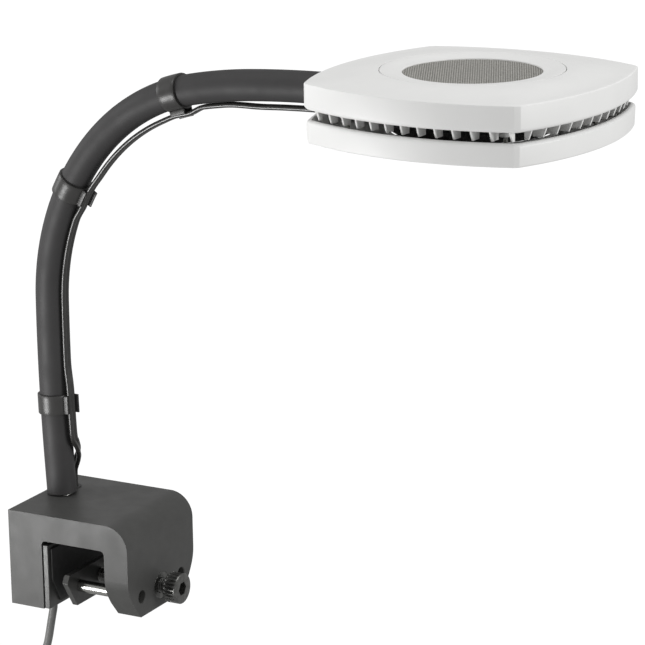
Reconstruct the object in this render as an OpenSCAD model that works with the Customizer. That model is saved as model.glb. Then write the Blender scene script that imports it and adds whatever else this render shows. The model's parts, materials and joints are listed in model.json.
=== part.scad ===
// Clamp-on solder fume extractor: a square fan head with a filter, carried by a sleeved
// gooseneck arm on a C clamp. Millimetres, +Z up.
// Origin: centre of the fixed jaw's face, on the clamp screw's axis.
// +X runs from the fixed jaw towards the clamp screw's knob.

/* [Clamp] */
// Length of the clamp block along the screw
clamp_l = 90; // [86:1:100]
// Width of the clamp block across the screw
clamp_w = 81; // [78:1:90]
// Height of the clamp block above the screw axis
clamp_top = 50.5; // [48:0.5:60]
// Depth of the clamp legs below the screw axis
clamp_foot = 13.5; // [13:0.5:16]
// Thickness of the leg behind the fixed jaw
fixed_leg = 25; // [25:1:30]
// Thickness of the leg that holds the screw
screw_leg = 17.5; // [15:0.5:20]
// Height of the throat's ceiling above the screw axis
throat_top = 33; // [30:1:36]
// Radius of the big outer corner
corner_r = 16; // [10:1:18]
// Gap between the jaws as drawn
jaw_gap = 7; // [6.5:0.5:20]
// Distance between the two guide pins
pin_span = 48; // [44:1:52]
// Diameter of the clamp screw's thread
screw_d = 10; // [8:1:10]
// Diameter of the clamp screw's knob
knob_d = 20; // [18:1:24]

/* [Arm] */
// Turn of the arm about its socket, seen from above
arm_turn = -5; // [-8:1:8]
// Outer diameter of the arm's sleeve
sleeve_d = 19.5; // [18:0.5:20]
// Diameter of the bendable core inside the sleeve
core_d = 12; // [8:0.5:13]
// Width of the twin cable that runs along the arm
cable_w = 6.4; // [5:0.2:7]

/* [Head] */
// Distance between neighbouring corners of the head
head_side = 140; // [136:1:150]
// Bulge of each side of the head
head_bulge = 15; // [12:1:16]
// Height of the upper shell
upper_h = 15.5; // [15:0.5:16]
// Rise of the top face from its edge to the outlet ring
crown = 3.3; // [0:0.1:4]
// Height of the slot between the shells
slot_h = 6; // [5:0.5:6]
// Height of the lower shell
lower_h = 13.5; // [13:0.5:15]
// Diameter of the round cover ring on top
ring_d = 107.8; // [106:0.2:110]
// Diameter of the mesh that shows inside the ring
mesh_d = 81; // [78:0.5:84]
// Spacing of the swirl vanes along a side
vane_pitch = 10.4; // [10:0.1:12]

/* [Power cord] */
// Diameter of the power cord
cord_d = 5.4; // [5:0.2:6]
// Mean radius of the stored coil
coil_r = 31; // [30:1:32]

/* [Hidden] */
$fn = 64;

eps = 0.01;
sheet = 0.35;                    // clearance between curved faces that move past each other
running = 0.05;                  // radial clearance of a running fit

// Clamp
x_back = -fixed_leg - 5.5;       // outer face of the fixed leg
x_front = x_back + clamp_l;      // outer face of the screw leg
x_wall = x_front - screw_leg;    // throat face of the screw leg
x_seat = x_back + fixed_leg;     // throat face of the fixed leg
pad_t = 1.5;
jaw_t = 5.4;
pin_d = 8;
knob_l = 9.8;
neck_l = 6;
x_knob = x_front + neck_l;
journal_d = 6;
insert_r = 9;
foot_y = 26;                     // half width of the screw leg at its foot
foot_z = 8;                      // where the foot's slanting sides start
arm_x = -18.2;
arm_y = 4.5;
entry = [-18.5, 19];             // where the arm's cable enters the clamp
exit = [-17, -12];               // where the power cord leaves the clamp
duct_z = 10;
duct_d = 8;

// Arm: each stretch is [length, turn], one after another from the top of the clamp
ARM = [[24, 0], [108, 4], [121, 44], [82, 33], [45, 7], [71, 5]];
CLIPS = [[1, 37.8], [2, 79.5], [3, 69.5]];      // stretch, and how far along it
first_lean = -3;
sleeve_r = sleeve_d / 2;
core_r = core_d / 2;
ball_r = sleeve_r - 0.2;
rim = 5.5;                       // where a sleeve starts beyond its joint's centre
core_rim = 10.5;                 // where a core starts beyond its joint's centre
cable_t = cable_w / 2;
cable_off = sleeve_r + 1.85 + cable_t / 2;
cable_rim = 7.5;
base_gap = 0.9;
socket_depth = 20;
ferrule_r = 7;
clip_t = 1.5;

// Head, in its own frame: centre of the top face, +X away from the arm
wall = 2.2;
side_r = (head_side * head_side / 4 + head_bulge * head_bulge) / (2 * head_bulge);
side_c = side_r - head_side / 2 - head_bulge;
corner_cut = 98.3 * head_side / 140;
z_slot = -upper_h;
z_lower = -upper_h - slot_h;
z_base = z_lower - lower_h;
arm_drop = 17.4;
arm_end = -84;
post = 52;
fan = 80;
fan_t = 15;
fan_top = -4.5;
fan_holes = 71.5;
bore_d = 76.4;
cover_r = 48.7;
button = [64, -10];

// Power cord: the hand-chosen route down to the coil, and the coil's centre
CORD = [[-17, -12, -13.5], [-17, -12, -18], [-17.5, -12, -24], [-19, -12, -31], [-20.5, -12, -38],
        [-22, -12, -45], [-24, -12, -52], [-27.5, -12, -58.5], [-32.5, -12, -64.5],
        [-38.5, -12, -70], [-44.5, -12, -75], [-49.5, -12, -79]];
coil_c = [-22.5, -12, -106];
strands = 8;                     // places for the cord's turns round the coil's middle line
strand_r = cord_d / 2 / sin(180 / strands);
bundle_r = strand_r + cord_d / 2;
last_strand = 320.6;             // where round that line the last turn ends, in degrees
tail_at = [-coil_r - strand_r * cos(last_strand), strand_r * sin(last_strand)];
tail_end = -34;
plug_l = 26;

// ---------- helpers ----------

// Sum of the first n turns of the arm
function turned(n) = n == 0 ? first_lean : turned(n - 1) + ARM[n - 1][1];

// Point of the arm's centreline where stretch n starts, as [outwards, up]
function spot(n) = n == 0 ? [0, 0] :
    let (p = spot(n - 1), h = turned(n - 1), len = ARM[n - 1][0], t = ARM[n - 1][1])
    t == 0 ? p + len * [sin(h), cos(h)] :
    let (r = len * 180 / (PI * t))
    p + r * [cos(h) - cos(h + t), sin(h + t) - sin(h)];

// The arm's vertical plane
module in_arm_plane() {
    translate([arm_x, arm_y, clamp_top]) rotate([0, 0, arm_turn]) children();
}

// The start of stretch n, with +Z along the arm and +X towards the inside of its bend
module along(n) {
    in_arm_plane() translate([spot(n)[0], 0, spot(n)[1]]) rotate([0, turned(n), 0]) children();
}

// A profile drawn along stretch n from length a to length b
module bow(n, a, b) {
    len = ARM[n][0];
    t = ARM[n][1];
    along(n)
        if (t == 0) translate([0, 0, a]) linear_extrude(b - a) children();
        else {
            r = len * 180 / (PI * t);
            translate([r, 0, 0]) rotate([90, 0, 180]) rotate([0, 0, t * a / len])
                rotate_extrude(angle = t * (b - a) / len, $fn = 96)
                    translate([r, 0]) mirror([1, 0]) children();
        }
}

// The head's own frame
module at_head() {
    tip = spot(len(ARM));
    in_arm_plane() translate([tip[0] - arm_end, 0, tip[1] + arm_drop]) children();
}

// A flat stadium: the twin cable's section, its long way across the arm
module stadium(w, t) {
    square([t, w - t], center = true);
    for (s = [-1, 1]) translate([0, s * (w - t) / 2]) circle(d = t);
}

// A rod along X
module x_rod(x0, x1, r) {
    translate([x0, 0, 0]) rotate([0, 90, 0]) cylinder(h = x1 - x0, r = r);
}

// A section given as [across, up] and drawn along X
module x_slab(x0, x1) {
    translate([x0, 0, 0]) rotate([90, 0, 90]) linear_extrude(x1 - x0) children();
}

// The head's outline between two heights: bulged sides and cut corners, set in by inset
module pillow_block(z0, z1, inset) {
    translate([0, 0, z0]) linear_extrude(z1 - z0)
        intersection_for(q = [0:90:270]) intersection() {
            rotate(q) translate([-side_c, 0]) circle(r = side_r - inset, $fn = 180);
            circle(r = corner_cut - inset, $fn = 180);
        }
}

module disc(z0, z1, r) {
    translate([0, 0, z0]) cylinder(h = z1 - z0, r = r);
}

module at_corners(span) {
    for (x = [-1, 1], y = [-1, 1]) translate([x * span, y * span, 0]) children();
}

// ---------- clamp ----------

module clamp_section() {
    difference() {
        union() {
            translate([x_back, -clamp_foot])
                square([clamp_l - corner_r, clamp_top + clamp_foot]);
            translate([x_back, -clamp_foot])
                square([clamp_l, clamp_top + clamp_foot - corner_r]);
            translate([x_front - corner_r, clamp_top - corner_r]) circle(r = corner_r);
        }
        translate([x_seat, -clamp_foot - 1])
            square([x_wall - x_seat, throat_top + clamp_foot + 1 - 3]);
        translate([x_seat + 3, -clamp_foot - 1])
            square([x_wall - x_seat - 6, throat_top + clamp_foot + 1]);
        for (x = [x_seat + 3, x_wall - 3]) translate([x, throat_top - 3]) circle(r = 3);
    }
}

module clamp_block() {
    rotate([90, 0, 0]) linear_extrude(clamp_w, center = true) clamp_section();
}

module leg_block() {
    translate([x_wall, -clamp_w, -clamp_foot - 1])
        cube([screw_leg + 1, 2 * clamp_w, throat_top + clamp_foot + 1]);
}

module clamp_body() color("dimgray") difference() {
    clamp_block();
    leg_block();
    along(0) translate([0, 0, -socket_depth - 1])
        cylinder(h = socket_depth + 6, r = ferrule_r + running);
    translate([0, arm_y, clamp_top - 12]) x_rod(x_back - 1, arm_x, 2.5);
    translate([entry[0], entry[1], duct_z]) cylinder(h = clamp_top, d = duct_d);
    translate([exit[0], exit[1], -clamp_foot - 1]) cylinder(h = clamp_foot + 1 + duct_z, d = duct_d);
    translate([entry[0], exit[1] - 4, duct_z]) rotate([-90, 0, 0])
        cylinder(h = entry[1] - exit[1] + 8, d = duct_d);
}

// The leg that holds the screw, in one casting with the bridge
module screw_leg() color("dimgray") difference() {
    intersection() {
        clamp_block();
        leg_block();
    }
    for (s = [-1, 1]) x_slab(x_wall - 1, x_front + 1)
        polygon([[s * (clamp_w / 2 + 1), foot_z], [s * clamp_w / 2, foot_z],
                 [s * foot_y, -clamp_foot], [s * foot_y, -clamp_foot - 1],
                 [s * (clamp_w / 2 + 1), -clamp_foot - 1]]);
    for (s = [-1, 1]) translate([0, s * pin_span / 2, 0])
        x_rod(x_wall - 1, x_front + 1, pin_d / 2 + running);
    x_rod(x_wall - 1, x_front + 1, insert_r);
}

// Threaded steel insert pressed into the screw leg
module thread_insert() color("dimgray") difference() {
    x_rod(x_wall, x_front, insert_r);
    x_rod(x_wall - 1, x_front + 1, screw_d / 2 + running);
}

// Metal plate behind the fixed jaw's pad
module fixed_jaw_plate() color("gray") translate([x_seat, -clamp_w / 2 + 1, -clamp_foot])
    cube([-x_seat - pad_t, clamp_w - 2, clamp_foot + throat_top - 3.2]);

module jaw_pad_section(top) {
    polygon([[-37, 6], [-28, -clamp_foot + 2.5], [28, -clamp_foot + 2.5], [37, 6], [37, top],
             [-37, top]]);
}

module fixed_jaw_pad() color("black") x_slab(-pad_t, 0) jaw_pad_section(27);

module moving_jaw() color("dimgray") difference() {
    x_slab(jaw_gap + pad_t, jaw_gap + jaw_t)
        polygon([[-39, 5.5], [-28, -12.4], [28, -12.4], [39, 5.5], [36, 10.5], [-36, 10.5]]);
    for (s = [-1, 1]) translate([0, s * pin_span / 2, 0])
        x_rod(jaw_gap, jaw_gap + jaw_t + 1, pin_d / 2);
    x_rod(jaw_gap, jaw_gap + jaw_t + 1, journal_d / 2 + running);
    x_rod(jaw_gap, jaw_gap + pad_t + 1.4, 5.2);
}

module moving_jaw_pad() color("black") x_slab(jaw_gap, jaw_gap + pad_t)
    polygon([[-37, 5], [-27, -11], [27, -11], [37, 5], [35, 9], [-35, 9]]);

module guide_pins() color("silver") for (s = [-1, 1]) translate([0, s * pin_span / 2, 0])
    x_rod(jaw_gap + pad_t, x_front - 3.5, pin_d / 2);

module clamp_screw() color("gray") {
    x_rod(jaw_gap + jaw_t + 0.3, x_knob, screw_d / 2);
    x_rod(jaw_gap + pad_t + 0.2, jaw_gap + jaw_t + 0.3, journal_d / 2);
}

// Fluted knob with a hexagon socket
module screw_knob() color("dimgray") difference() {
    x_rod(x_knob, x_knob + knob_l, knob_d / 2);
    for (i = [0:23]) rotate([i * 15, 0, 0]) translate([0, 0, knob_d / 2 + 0.45])
        x_rod(x_knob + 1, x_knob + knob_l - 1, 0.9, $fn = 16);
    translate([x_knob + knob_l - 5.5, 0, 0]) rotate([0, 90, 0])
        cylinder(h = 6, d = 8 / cos(30), $fn = 6);
}

module socket_screw() color("gray") difference() {
    translate([0, arm_y, clamp_top - 12]) x_rod(x_back + 0.5, arm_x - ferrule_r - 0.9, 2.5);
    translate([x_back, arm_y, clamp_top - 12]) rotate([0, 90, 0])
        cylinder(h = 2.5, d = 2.5 / cos(30), $fn = 6);
}

module cable_grommet() color("black") translate([entry[0], entry[1], 0]) difference() {
    union() {
        disc(clamp_top - 4, clamp_top, duct_d / 2);
        disc(clamp_top, clamp_top + 0.6, duct_d / 2 + 1);
    }
    disc(clamp_top - 5, clamp_top + 1, 2.5);
}

// The lead inside the block, from the cable's way in to the power cord's way out
module inner_lead() color("black") tube([
    [entry[0], entry[1], clamp_top - 0.5], [entry[0], entry[1], duct_z + 5],
    [entry[0], entry[1] - 1.5, duct_z + 1.5], [entry[0], entry[1] - 5, duct_z],
    [exit[0], exit[1] + 5, duct_z], [exit[0], exit[1] + 1.5, duct_z - 1.5],
    [exit[0], exit[1], duct_z - 5], [exit[0], exit[1], 1 - clamp_foot]], 2.3, [1, 0, 0]);

module cord_grommet() color("black") translate([exit[0], exit[1], 0]) difference() {
    disc(-clamp_foot, -clamp_foot + 6, duct_d / 2);
    disc(-clamp_foot - 1, -clamp_foot + 7, cord_d / 2);
}

// ---------- arm ----------

module arm_ferrule() color("silver") along(0) {
    translate([0, 0, -socket_depth]) cylinder(h = socket_depth, r = ferrule_r);
}

module core(n, start) color("gray") bow(n, start, ARM[n][0]) circle(r = core_r);

// A length of sleeve: a ball where the next joint is, a cup where the last one was
module sleeve(n, start) color("#3a3839") difference() {
    union() {
        bow(n, start, ARM[n][0]) circle(r = sleeve_r);
        if (n < len(ARM) - 1) along(n + 1) sphere(r = ball_r);
    }
    if (n > 0) along(n) sphere(r = ball_r + sheet);
    bow(n, start - 1, ARM[n][0]) circle(r = core_r);
}

module core_base() core(0, 0);
module core_lower() core(1, core_rim);
module core_middle() core(2, core_rim);
module core_upper() core(3, core_rim);
module core_tip() core(4, core_rim);
module core_end() core(5, core_rim);
module sleeve_base() sleeve(0, base_gap);
module sleeve_lower() sleeve(1, rim);
module sleeve_middle() sleeve(2, rim);
module sleeve_upper() sleeve(3, rim);
module sleeve_tip() sleeve(4, rim);
module sleeve_end() sleeve(5, rim);

module cable(n, start, stop) color("#222222") bow(n, start, ARM[n][0] - stop)
    translate([cable_off, 0]) stadium(cable_w, cable_t);

// The cable comes up out of the clamp behind the arm
module cable_base() color("#222222") tube([[entry[0], entry[1], clamp_top + 0.9],
    [entry[0], entry[1], clamp_top + 6], [entry[0] + 1, entry[1] - 1, clamp_top + 11],
    [entry[0] + 3.5, entry[1] - 3, clamp_top + 15]], 2);

// and swings round to the inside of the bend below the first clip
module cable_lower() {
    color("#222222") tube([[-8.5, 10, clamp_top + 33], [-6.8, 7, clamp_top + 38],
        [-6.2, 4.5, clamp_top + 44], [-6.8, 3.5, clamp_top + 51]], 1.6);
    cable(1, 28, cable_rim);
}
module cable_middle() cable(2, cable_rim, cable_rim);
module cable_upper() cable(3, cable_rim, cable_rim);
module cable_tip() cable(4, cable_rim, cable_rim);
module cable_end() cable(5, cable_rim, -6);

// Snap clip: a band round the sleeve and two lips that grip the cable
module clip(n, at) color("#3c3c3c") {
    bow(n, at - 6.5, at + 6.5) difference() {
        circle(r = sleeve_r + clip_t);
        circle(r = sleeve_r);
    }
    for (s = [-1, 1]) bow(n, at - 6, at + 6)
        translate([sleeve_r + clip_t / 2, s > 0 ? cable_w / 2 : -cable_w / 2 - 1.2])
            square([cable_off - sleeve_r - clip_t / 2 + (s > 0 ? cable_t / 2 + 1.3 : 0.5), 1.2]);
}
module clip_lower() clip(CLIPS[0][0], CLIPS[0][1]);
module clip_middle() clip(CLIPS[1][0], CLIPS[1][1]);
module clip_upper() clip(CLIPS[2][0], CLIPS[2][1]);

// ---------- head ----------

// Outline of the collar where the arm and its cable enter, as [across, up]
module collar_section(grow) {
    translate([0, -arm_drop]) circle(r = 12.6 + grow);
    translate([-5 - grow, -arm_drop - cable_off - 3.2 - grow]) square([10 + 2 * grow, 15]);
}

module arm_collar() color("#444444") at_head() difference() {
    x_slab(arm_end - 7, arm_end + 3) collar_section(0);
    translate([0, 0, -arm_drop]) x_rod(arm_end - 8, arm_end, sleeve_r);
    translate([0, 0, -arm_drop]) x_rod(arm_end - 1, arm_end + 4, ferrule_r);
    x_slab(arm_end - 8, arm_end + 4) translate([0, -arm_drop - cable_off])
        rotate(90) stadium(cable_w, cable_t);
}

// Block that holds the arm's end inside the head
module arm_bracket() color("silver") at_head() difference() {
    union() {
        translate([arm_end + 4.5, -14, z_base + 6.6]) cube([16.5, 28, 19]);
        translate([arm_end, 0, -arm_drop]) x_rod(0, 4.5, ferrule_r);
    }
    for (s = [-1, 1]) translate([arm_end + 13, s * 9.5, z_base + 6]) cylinder(h = 8, r = 1.3);
}

// Low dome that lifts the top face to the outlet ring
module crown_dome(z) {
    translate([0, 0, z]) rotate_extrude($fn = 96)
        polygon([[0, -1], [84, -1], [84, 0], [76, 0.3 * crown], [64, 0.85 * crown],
                 [ring_d / 2 + 2, crown], [0, crown]]);
}

module upper_shell() color("white") at_head() difference() {
    union() {
        difference() {
            union() {
                pillow_block(z_slot + 2.5, 0, 0);
                pillow_block(z_slot, z_slot + 3, 2);
            }
            pillow_block(z_slot - 1, -wall, wall + 2.2);
        }
        difference() {
            crown_dome(0);
            crown_dome(-wall);
        }
        at_corners(post) disc(z_lower, -wall + eps, 4);
    }
    disc(-wall - 3, crown + 1, ring_d / 2);
    at_corners(post) disc(z_lower - 1, -6, 1.3);
    x_slab(arm_end - 4, arm_end + 4) collar_section(0.1);
}

module exhaust_ring() color("white") at_head() difference() {
    union() {
        disc(-wall, crown, ring_d / 2 - 0.1);
        disc(fan_top, -wall, ring_d / 2 + 2.4);
    }
    disc(crown - 2, crown + 1, mesh_d / 2);
    disc(fan_top - 1, crown - 2, mesh_d / 2 + 1.5);
    at_corners(fan_holes / 2) disc(fan_top - 1, -1, 1.6);
}

module exhaust_mesh() color("darkgray") at_head() disc(crown - 2.8, crown - 2, mesh_d / 2 + 1.4);

// Flat ring inside the upper shell with the vanes that hang from it into the slot
module vane_ring() color("white") at_head() {
    difference() {
        pillow_block(z_slot, z_slot + 1.5, wall + 2.5);
        pillow_block(z_slot - 1, z_slot + 2, 11.5);
        x_slab(arm_end - 4, arm_end + 20) collar_section(3);
    }
    for (q = [0:3], k = [-6:0.5:6])
        if (vane_here(q, k)) rotate(90 * q) vane(vane_pitch * k + (q == 3 ? 2 : 0));
}

// Sides 0 and 2 have an even number of vanes, sides 1 and 3 an odd number; the arm is on side 2
function vane_here(q, k) = (q % 2 == 0) == (k != floor(k)) && !(q == 2 && abs(k) < 2);

module vane(y) {
    x = sqrt(side_r * side_r - y * y) - side_c;
    reach = abs(y) > 5.3 * vane_pitch ? 8 : 12;
    translate([x, y + 0.6, 0]) rotate([90, 0, 0]) linear_extrude(1.2)
        polygon([[-reach, z_slot + 0.5], [-reach, z_lower + 0.3], [-5.4, z_lower + 0.3],
                 [-3, z_slot], [-wall - 2.6, z_slot], [-wall - 2.6, z_slot + 0.5]]);
}

module lower_shell() color("white") at_head() difference() {
    union() {
        difference() {
            pillow_block(z_base, z_lower, 1.2);
            pillow_block(z_base + 2, z_lower + 1, 1.2 + wall);
        }
        at_corners(post) disc(z_base + 1, z_lower, 4);
        translate([button[0], button[1], 0]) disc(z_base + 1, z_base + 5, 6);
        for (s = [-1, 1]) translate([arm_end + 13, s * 9.5, 0]) disc(z_base + 1, z_base + 6.6, 3);
    }
    disc(z_base - 1, z_base + 3, cover_r + 0.4);
    for (q = [0:90:270]) rotate(q + 45) intersection() {
        disc(z_base - 1, z_base + 3, cover_r + 2.6);
        translate([0, -5, z_base - 2]) cube([60, 10, 6]);
    }
    at_corners(post) disc(z_base - 1, z_lower + 1, 1.7);
    at_corners(post) disc(z_base - 1, z_base + 2, 3.1);
    for (s = [-1, 1]) translate([arm_end + 13, s * 9.5, 0]) disc(z_base - 1, z_lower, 1.7);
    translate([button[0], button[1], 0]) disc(z_base - 1, z_base + 6, 4.05);
    x_slab(arm_end - 4, arm_end + 4) collar_section(0.1);
}

// Four screws that join the shells and two that hold the arm's bracket
module shell_screws() color("silver") at_head() {
    at_corners(post) {
        disc(z_base + 0.3, z_base + 2, 2.8);
        disc(z_base + 2, z_lower + 5, 1.3);
    }
    for (s = [-1, 1]) translate([arm_end + 13, s * 9.5, 0]) disc(z_base + 0.3, z_base + 13, 1.3);
}

module fan_frame() color("#222222") at_head() difference() {
    union() {
        difference() {
            translate([-fan / 2, -fan / 2, fan_top - fan_t]) cube([fan, fan, fan_t]);
            disc(fan_top - fan_t - 1, fan_top + 1, bore_d / 2);
        }
        disc(fan_top - fan_t, fan_top - fan_t + 1.5, 15);
        for (a = [10:120:250]) rotate(a) translate([10, -1.6, fan_top - fan_t])
            cube([30, 3.2, 1.5]);
        disc(fan_top - fan_t, fan_top - 3, 5);
    }
    disc(fan_top - fan_t + 1.2, fan_top, 4);
    at_corners(fan_holes / 2) disc(fan_top - fan_t - 1, fan_top + 1, 2.15);
}

// Stator round the bearing tube, and the two ball bearings inside it
module fan_motor() color("#b87333") at_head() {
    difference() {
        disc(fan_top - 11.5, fan_top - 4, 11);
        disc(fan_top - 12, fan_top - 3, 5);
    }
    for (z = [fan_top - 13, fan_top - 7]) difference() {
        disc(z, z + 3, 4);
        disc(z - 1, z + 4, 1.55);
    }
}

module fan_screws() color("silver") at_head() at_corners(fan_holes / 2) {
    disc(fan_top - fan_t - 0.8, fan_top - fan_t, 3.4);
    disc(fan_top - fan_t, fan_top + 3, 1.6);
}

module rotor_shaft() color("silver") at_head() disc(fan_top - 13.5, fan_top - 1, 1.5);

module impeller() color("#1c1c1c") at_head() {
    difference() {
        disc(fan_top - 12.5, fan_top - 1, 16);
        disc(fan_top - 13, fan_top - 2.5, 12.4);
        disc(fan_top - 14, fan_top, 1.5);
    }
    intersection() {
        difference() {
            disc(fan_top - 13, fan_top - 1.5, 37.4);
            disc(fan_top - 14, fan_top, 15.8);
        }
        for (i = [0:6]) rotate(i * 360 / 7) translate([0, 0, fan_top - 7]) rotate([38, 0, 0])
            translate([12, -0.8, -12]) cube([30, 1.6, 24]);
    }
}

// Circuit board with its parts and the push switch
module control_board() color("green") at_head() {
    translate([59.6, -26.5, -15]) cube([9.4, 33, 1.6]);
    translate([60.5, 0, -13.4]) cube([7, 6, 5]);
    translate([button[0] - 3, button[1] - 3, -18.4]) cube([6, 6, 3.4]);
}

module board_cover() color("white") at_head() difference() {
    translate([58.4, -27.8, z_lower + 0.2]) cube([11.9, 35.6, 16]);
    translate([59.5, -26.7, z_lower - 1]) cube([9.7, 33.4, 16]);
}

module carbon_filter() color("#262626") at_head() disc(z_base + 4, fan_top - fan_t - 1, 47.8);

// Twist-off cover under the filter: ribs and rings that hold the filter in
module filter_cover() color("#e8e8e8") at_head() {
    difference() {
        disc(z_base, z_base + 1.8, cover_r);
        for (r = [10:8:42]) difference() {
            disc(z_base - 1, z_base + 3, r + 6);
            disc(z_base - 2, z_base + 4, r);
            for (a = [0:45:135]) rotate(a) translate([-60, -1.6, z_base - 2]) cube([120, 3.2, 8]);
        }
    }
    difference() {
        disc(z_base + 1.8 - eps, z_base + 3.6, cover_r);
        disc(z_base + 1, z_base + 4, cover_r - 0.8);
    }
    for (q = [0:90:270]) rotate(q + 22) intersection() {
        difference() {
            disc(z_base + 2.3, z_base + 3.6, cover_r + 2);
            disc(z_base, z_base + 5, cover_r - 0.5);
        }
        translate([0, -4, z_base]) cube([60, 8, 6]);
    }
}

module power_button() color("gray") at_head() translate([button[0], button[1], 0]) {
    disc(z_base - 1.2, z_base + 4, 4);
    disc(z_base + 4, -19.7, 1.5);
}

// ---------- power cord ----------

function unit(v) = v / norm(v);
function heading(p, i) = unit(p[min(i + 1, len(p) - 1)] - p[max(i - 1, 0)]);

// A ring of eight points round point i of a route that never runs along the axis across
function hoop(p, i, r, across) = [for (a = [0:45:315])
    let (h = heading(p, i), side = unit(cross(across, h)), up = cross(h, side))
    p[i] + r * (cos(a) * side + sin(a) * up)];

module tube(p, r, across = [0, 1, 0]) {
    n = len(p);
    polyhedron(
        points = [for (i = [0:n - 1]) each hoop(p, i, r, across)],
        faces = [[for (k = [0:7]) k],
                 for (i = [0:n - 2], k = [0:7])
                     [8 * i + k, 8 * i + 8 + k, 8 * i + 8 + (k + 1) % 8, 8 * i + (k + 1) % 8],
                 [for (k = [7:-1:0]) 8 * (n - 1) + k]]);
}

module power_cord() color("gray") tube(CORD, cord_d / 2);

module at_coil() {
    translate(coil_c) rotate([90, 0, 0]) children();
}

module cord_coil() color("gray") at_coil() rotate_extrude($fn = 72)
    translate([coil_r, 0]) circle(r = bundle_r);

// The tail's own frame: where the last turn leaves the coil, going down
module at_tail() {
    translate(coil_c + [tail_at[0], tail_at[1], 0]) children();
}

module cord_tail() color("gray") at_tail()
    tube([for (z = [0:tail_end / 6:tail_end]) [0, 0, z]], cord_d / 2);

module cord_tie() color("black") at_coil() rotate([0, 0, 263]) rotate_extrude(angle = 14, $fn = 72)
    translate([coil_r, 0]) difference() {
        circle(r = bundle_r + 1.2);
        circle(r = bundle_r);
    }

// Moulded plug: a tapered sleeve and a grip
module plug_body() color("#222222") at_tail() translate([0, 0, tail_end]) difference() {
    union() {
        translate([0, 0, -10]) cylinder(h = 10, r1 = 4.4, r2 = 3.2);
        translate([0, 0, -plug_l]) cylinder(h = plug_l - 10, r = 5);
    }
    translate([0, 0, -4]) cylinder(h = 5, r = cord_d / 2);
}

module plug_barrel() color("silver") at_tail() translate([0, 0, tail_end - plug_l - 9.5])
    difference() {
        cylinder(h = 9.5, r = 2.75);
        translate([0, 0, -1]) cylinder(h = 9, r = 1.25);
    }

// ---------- assembly ----------

clamp_body();
screw_leg();
thread_insert();
fixed_jaw_plate();
fixed_jaw_pad();
socket_screw();
cable_grommet();
inner_lead();
cord_grommet();
power_cord();
cord_coil();
cord_tail();
cord_tie();
plug_body();
plug_barrel();
moving_jaw();
moving_jaw_pad();
guide_pins();
clamp_screw();
screw_knob();
arm_ferrule();
core_base();
core_lower();
core_middle();
core_upper();
core_tip();
core_end();
sleeve_base();
sleeve_lower();
sleeve_middle();
sleeve_upper();
sleeve_tip();
sleeve_end();
cable_base();
cable_lower();
cable_middle();
cable_upper();
cable_tip();
cable_end();
clip_lower();
clip_middle();
clip_upper();
arm_collar();
arm_bracket();
upper_shell();
lower_shell();
exhaust_ring();
exhaust_mesh();
vane_ring();
shell_screws();
fan_frame();
fan_motor();
fan_screws();
rotor_shaft();
impeller();
control_board();
board_cover();
carbon_filter();
filter_cover();
power_button();
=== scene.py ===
"""Looks of the clamp-on solder fume extractor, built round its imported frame.

Shapes are worked out in millimetres in the frame's own axes, and stored in metres.
"""
import json
import math

import bmesh
import bpy
from mathutils import Matrix, Vector

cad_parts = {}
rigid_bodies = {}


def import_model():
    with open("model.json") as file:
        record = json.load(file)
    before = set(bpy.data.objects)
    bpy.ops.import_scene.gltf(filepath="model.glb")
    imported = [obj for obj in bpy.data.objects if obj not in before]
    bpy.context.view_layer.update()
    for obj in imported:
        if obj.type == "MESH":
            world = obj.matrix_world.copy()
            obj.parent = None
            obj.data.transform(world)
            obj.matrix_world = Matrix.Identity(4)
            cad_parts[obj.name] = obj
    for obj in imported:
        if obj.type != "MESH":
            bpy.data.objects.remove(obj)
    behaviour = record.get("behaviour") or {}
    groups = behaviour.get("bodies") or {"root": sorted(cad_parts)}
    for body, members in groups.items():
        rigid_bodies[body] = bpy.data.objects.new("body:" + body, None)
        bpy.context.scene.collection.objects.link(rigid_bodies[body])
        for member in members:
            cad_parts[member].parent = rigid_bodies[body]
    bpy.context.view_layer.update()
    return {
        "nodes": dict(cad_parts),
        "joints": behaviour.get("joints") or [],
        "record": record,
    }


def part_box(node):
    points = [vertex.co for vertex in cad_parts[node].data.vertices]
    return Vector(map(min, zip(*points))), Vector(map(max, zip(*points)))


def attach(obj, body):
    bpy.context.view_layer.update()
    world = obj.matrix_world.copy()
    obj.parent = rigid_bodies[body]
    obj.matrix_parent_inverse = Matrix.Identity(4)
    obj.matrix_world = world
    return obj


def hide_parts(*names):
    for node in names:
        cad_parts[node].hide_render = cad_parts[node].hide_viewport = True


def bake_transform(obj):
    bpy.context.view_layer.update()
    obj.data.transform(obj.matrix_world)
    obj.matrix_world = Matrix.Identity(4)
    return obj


for leftover in list(bpy.data.objects):
    bpy.data.objects.remove(leftover)
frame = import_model()

MM = 0.001
FAN_DROP = 12                     # the fan joint's place below the head's top edge
JOINTS = {joint["name"]: joint for joint in frame["joints"]}


def box(node):
    """A CAD node's lowest and highest corners in millimetres."""
    low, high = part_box(node)
    return low / MM, high / MM


def centre_of(node):
    low, high = box(node)
    return (low + high) / 2


def joint_at(name):
    return Vector(JOINTS[name]["pos_m"]) / MM


# ---------------------------------------------------------------- camera

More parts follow.
